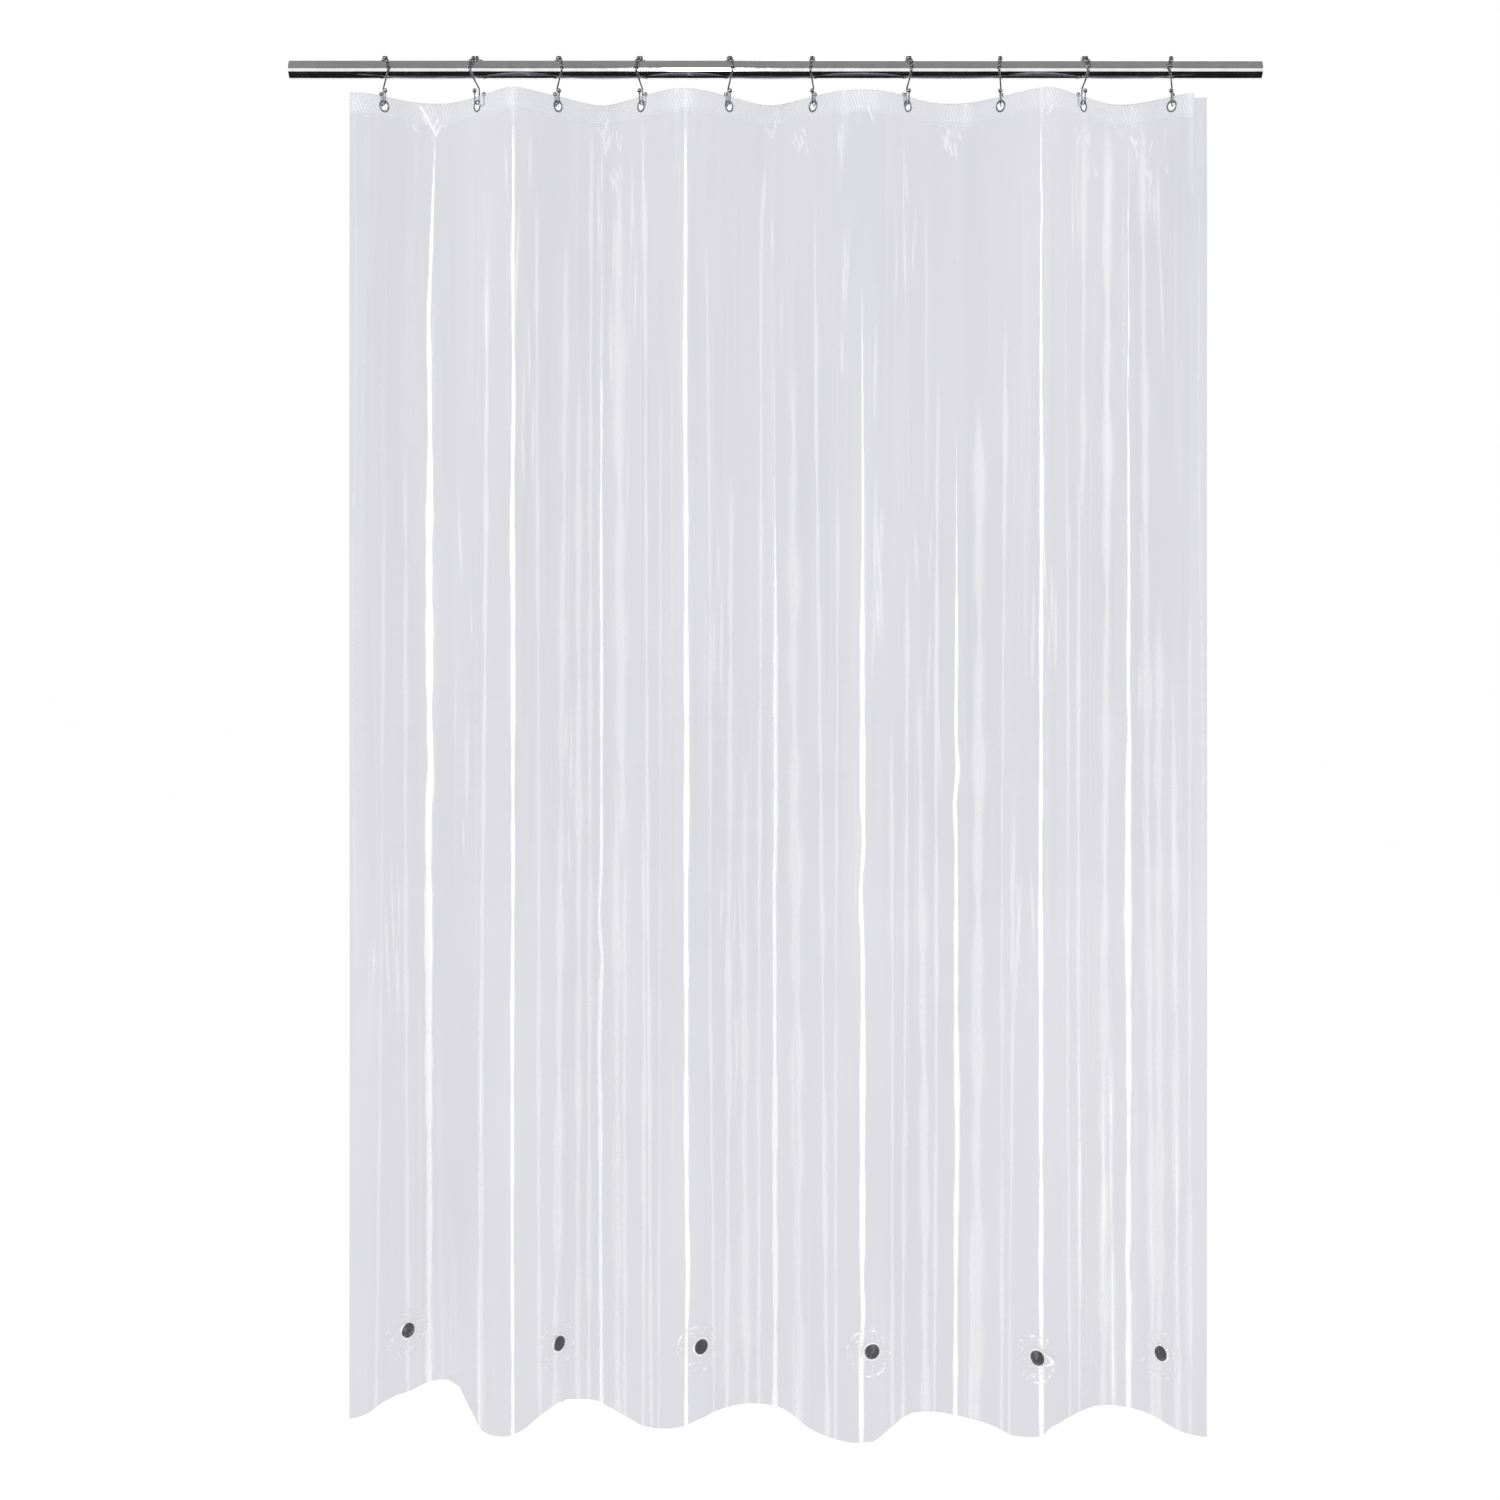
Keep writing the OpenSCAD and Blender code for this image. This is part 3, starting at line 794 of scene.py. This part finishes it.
for k in range(1, EYELETS):
    low, high = edges[k - 1], edges[k]
    body, header = film_body(k, low, high), film_header(k, low, high)
    body.data.materials.append(clear)
    header.data.materials.append(band)
    for piece in (body, header):
        bend(piece)
    replaced = [name("film_panel", k + 1)] + ([name("film_panel", 1)] if k == 1 else [])
    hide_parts(*replaced)

# ---------------------------------------------------------------- floor, light and camera

FLOOR = BOTTOM - 60 * MM  # the curtain hangs clear of the floor


def stage_plane(label, size, at, material, turn=(0, 0, 0)):
    mesh = bpy.data.meshes.new(label)
    a, b = size[0] / 2, size[1] / 2
    mesh.from_pydata([(-a, -b, 0), (a, -b, 0), (a, b, 0), (-a, b, 0)], [], [(0, 1, 2, 3)])
    o = bpy.data.objects.new(label, mesh)
    o.location = at
    o.rotation_euler = turn
    mesh.materials.append(material)
    bpy.context.scene.collection.objects.link(o)
    o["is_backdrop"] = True
    return o


floor_paint = Paint("pale_floor")
soft = floor_paint.noise(floor_paint.object_place(), (1.5, 1.5, 1.5), 3.0)
floor_paint.feed("Base Color", floor_paint.mix(soft, (0.11, 0.11, 0.11), (0.14, 0.14, 0.14)))
floor_paint.feed("Emission Color", floor_paint.mix(soft, (0.97, 0.97, 0.97), (1.0, 1.0, 1.0)))
floor_paint.set(Roughness=0.9, Emission_Strength=0.96, Specular_IOR_Level=0.0)
stage_plane("floor", (60, 60), (0, 0, FLOOR), floor_paint.material)

# cards seen only in reflections, which give the metal its dark and grey bands
card_paint = Paint("dark_card")
card_paint.set(Base_Color=(0.012, 0.012, 0.013, 1), Roughness=0.9, Specular_IOR_Level=0.0)
grey_paint = Paint("grey_card")
grey_paint.set(Base_Color=(0.28, 0.28, 0.285, 1), Roughness=0.9, Specular_IOR_Level=0.0)
quarter = math.radians(90)
for label, paint_used, size, at, turn in (
    ("dark_card", card_paint, (7, 5.0), (0, -1.0, FLOOR + 5 * MM), (0, 0, 0)),
    ("left_card", card_paint, (1.5, 3.2), (-2.3, -1.7, -0.7), (quarter, 0, -0.9)),
    ("right_card", card_paint, (1.5, 3.2), (2.3, -1.7, -0.7), (quarter, 0, 0.9)),
    ("high_card", grey_paint, (16, 3.0), (0, -6, 2.4), (quarter, 0, 0)),
):
    card = stage_plane(label, size, at, paint_used.material, turn)
    card.visible_camera = card.visible_diffuse = card.visible_shadow = card.visible_transmission = False

# white all round and low down, grey overhead
world = bpy.data.worlds.new("studio")
bpy.context.scene.world = world
world.use_nodes = True
wt = world.node_tree
sky = wt.nodes.new("ShaderNodeTexCoord")
split = wt.nodes.new("ShaderNodeSeparateXYZ")
ramp = wt.nodes.new("ShaderNodeMapRange")
ramp.interpolation_type = "SMOOTHSTEP"
mixer = wt.nodes.new("ShaderNodeMix")
mixer.data_type = "RGBA"
wt.links.new(sky.outputs["Generated"], split.inputs[0])
wt.links.new(split.outputs["Z"], ramp.inputs["Value"])
ramp.inputs["From Min"].default_value = 0.30
ramp.inputs["From Max"].default_value = 0.60
wt.links.new(ramp.outputs["Result"], mixer.inputs["Factor"])
mixer.inputs["A"].default_value = (1.002, 1.002, 1.002, 1)
mixer.inputs["B"].default_value = (0.28, 0.28, 0.285, 1)
wt.links.new(mixer.outputs["Result"], wt.nodes["Background"].inputs["Color"])


MIDDLE = (0, 0, -0.9)     # the lights point at the middle of the film


def area_light(label, at, size, power):
    data = bpy.data.lights.new(label, "AREA")
    data.shape = "RECTANGLE"
    data.size, data.size_y = size
    data.energy = power
    o = bpy.data.objects.new(label, data)
    o.location = at
    o.rotation_euler = (Vector(MIDDLE) - Vector(at)).to_track_quat("-Z", "Y").to_euler()
    o.visible_camera = False
    bpy.context.scene.collection.objects.link(o)


area_light("key", (-2.9, -3.0, 1.7), (1.6, 1.6), 60)
area_light("fill", (2.9, -2.8, 0.5), (1.0, 2.4), 35)
area_light("back", (1.2, 3.6, 1.6), (2.4, 2.0), 50)
area_light("strip", (-0.2, -3.6, -0.6), (0.22, 3.2), 14)

# the camera looks level and its shift brings the whole curtain into the picture, so uprights stay upright
camera = bpy.data.objects.new("camera", bpy.data.cameras.new("camera"))
bpy.context.scene.collection.objects.link(camera)
camera.location = (-0.035, -2.6, -0.667)
camera.rotation_euler = (math.radians(90), 0, 0)
camera.data.lens = 45.36
camera.data.sensor_width = 36
camera.data.shift_y = -0.13
camera.data.clip_end = 100
bpy.context.scene.camera = camera
bpy.context.scene.view_settings.view_transform = "Standard"

low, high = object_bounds()
